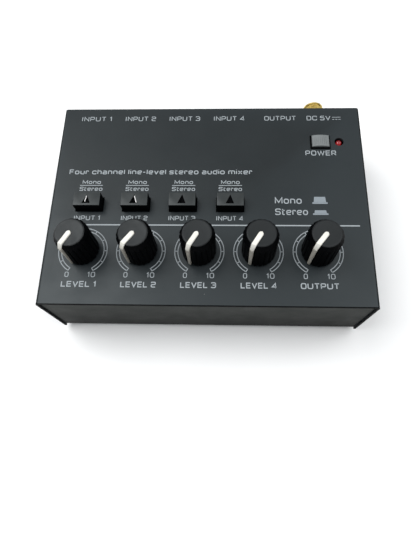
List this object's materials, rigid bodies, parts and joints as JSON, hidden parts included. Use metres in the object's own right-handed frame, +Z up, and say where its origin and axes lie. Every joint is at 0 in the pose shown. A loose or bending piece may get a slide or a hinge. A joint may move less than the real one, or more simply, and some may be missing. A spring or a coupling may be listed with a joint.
{
  "type": "mixing console",
  "caption": "Compact desktop line mixer in a folded steel housing, with rotary level controls, push switches, a power switch with lamp, rear phone jacks and a DC inlet.",
  "frame": {"origin": "centre of the housing on the plane that the feet stand on", "axes": "+X to the operator's right, +Y to the rear panel with the sockets, +Z up out of the control panel"},
  "size_m": [0.1416, 0.107, 0.0568],
  "materials": {
    "cover_paint": "satin powder coat",
    "chassis_paint": "satin powder coat",
    "black_screw": "black oxide",
    "foot_rubber": "matte",
    "board_laminate": "solder mask",
    "pillar_brass": "turned",
    "zinc_steel": "zinc plated",
    "chip_plastic": "moulded",
    "capacitor_sleeve": "shrink sleeve",
    "control_body": "zinc die-cast and laminate",
    "shaft_metal": "turned",
    "knob_plastic": "satin moulded",
    "pointer_plastic": "satin moulded",
    "switch_plastic": "moulded",
    "plunger_plastic": "moulded",
    "button_plastic": "satin moulded",
    "power_button_plastic": "satin moulded",
    "spring_steel": "drawn wire",
    "lamp_lens": "tinted epoxy",
    "jack_plastic": "moulded",
    "contact_metal": "tinned",
    "collar_brass": "knurled and gold plated"
  },
  "bodies": {
    "housing": {"top_cover": "cover_paint", "bottom_chassis": "chassis_paint", "cover_screws": "black_screw", "rubber_feet": "foot_rubber", "main_board": "board_laminate", "board_pillars": "pillar_brass", "board_screws": "zinc_steel", "op_amps": "chip_plastic", "capacitors": "capacitor_sleeve", "level_pot_1": "control_body", "level_pot_2": "control_body", "level_pot_3": "control_body", "level_pot_4": "control_body", "level_pot_5": "control_body", "mono_switch_1": "switch_plastic", "mono_switch_2": "switch_plastic", "mono_switch_3": "switch_plastic", "mono_switch_4": "switch_plastic", "mono_spring_1": "spring_steel", "mono_spring_2": "spring_steel", "mono_spring_3": "spring_steel", "mono_spring_4": "spring_steel", "power_switch": "switch_plastic", "power_spring": "spring_steel", "power_lamp": "lamp_lens", "input_jack_1": "jack_plastic", "input_jack_2": "jack_plastic", "input_jack_3": "jack_plastic", "input_jack_4": "jack_plastic", "output_jack": "jack_plastic", "jack_contacts": "contact_metal", "jack_washers": "zinc_steel", "jack_nuts": "zinc_steel", "dc_inlet": "jack_plastic", "dc_collar": "collar_brass"},
    "level_1_control": {"level_shaft_1": "shaft_metal", "level_knob_1": "knob_plastic", "knob_pointer_1": "pointer_plastic"},
    "level_2_control": {"level_shaft_2": "shaft_metal", "level_knob_2": "knob_plastic", "knob_pointer_2": "pointer_plastic"},
    "level_3_control": {"level_shaft_3": "shaft_metal", "level_knob_3": "knob_plastic", "knob_pointer_3": "pointer_plastic"},
    "level_4_control": {"level_shaft_4": "shaft_metal", "level_knob_4": "knob_plastic", "knob_pointer_4": "pointer_plastic"},
    "output_level_control": {"level_shaft_5": "shaft_metal", "level_knob_5": "knob_plastic", "knob_pointer_5": "pointer_plastic"},
    "mono_1_key": {"mono_plunger_1": "plunger_plastic", "mono_button_1": "button_plastic"},
    "mono_2_key": {"mono_plunger_2": "plunger_plastic", "mono_button_2": "button_plastic"},
    "mono_3_key": {"mono_plunger_3": "plunger_plastic", "mono_button_3": "button_plastic"},
    "mono_4_key": {"mono_plunger_4": "plunger_plastic", "mono_button_4": "button_plastic"},
    "power_key": {"power_plunger": "plunger_plastic", "power_button": "power_button_plastic"}
  },
  "joints": [
    {"name": "level_1_turn", "type": "hinge", "parent": "housing", "child": "level_1_control", "pos_m": [-0.052, -0.0244, 0.0388], "axis": [0, 0, -1], "range_deg": [0, 299]},
    {"name": "level_2_turn", "type": "hinge", "parent": "housing", "child": "level_2_control", "pos_m": [-0.0275, -0.0244, 0.0388], "axis": [0, 0, -1], "range_deg": [-7, 292]},
    {"name": "level_3_turn", "type": "hinge", "parent": "housing", "child": "level_3_control", "pos_m": [-0.003, -0.0244, 0.0388], "axis": [0, 0, -1], "range_deg": [0, 299]},
    {"name": "level_4_turn", "type": "hinge", "parent": "housing", "child": "level_4_control", "pos_m": [0.0215, -0.0244, 0.0388], "axis": [0, 0, -1], "range_deg": [-1, 298]},
    {"name": "output_level_turn", "type": "hinge", "parent": "housing", "child": "output_level_control", "pos_m": [0.046, -0.0244, 0.0388], "axis": [0, 0, -1], "range_deg": [-7.5, 291.5]},
    {"name": "mono_1_press", "type": "slide", "parent": "housing", "child": "mono_1_key", "axis": [0, 0, -1], "range_m": [0, 0.0025], "stiffness_N_per_m": 400, "springref_m": -0.002, "deforming": ["mono_spring_1"]},
    {"name": "mono_2_press", "type": "slide", "parent": "housing", "child": "mono_2_key", "axis": [0, 0, -1], "range_m": [0, 0.0025], "stiffness_N_per_m": 400, "springref_m": -0.002, "deforming": ["mono_spring_2"]},
    {"name": "mono_3_press", "type": "slide", "parent": "housing", "child": "mono_3_key", "axis": [0, 0, -1], "range_m": [0, 0.0025], "stiffness_N_per_m": 400, "springref_m": -0.002, "deforming": ["mono_spring_3"]},
    {"name": "mono_4_press", "type": "slide", "parent": "housing", "child": "mono_4_key", "axis": [0, 0, -1], "range_m": [0, 0.0025], "stiffness_N_per_m": 400, "springref_m": -0.002, "deforming": ["mono_spring_4"]},
    {"name": "power_press", "type": "slide", "parent": "housing", "child": "power_key", "axis": [0, 0, -1], "range_m": [0, 0.0016], "stiffness_N_per_m": 400, "springref_m": -0.002, "deforming": ["power_spring"]}
  ]
}
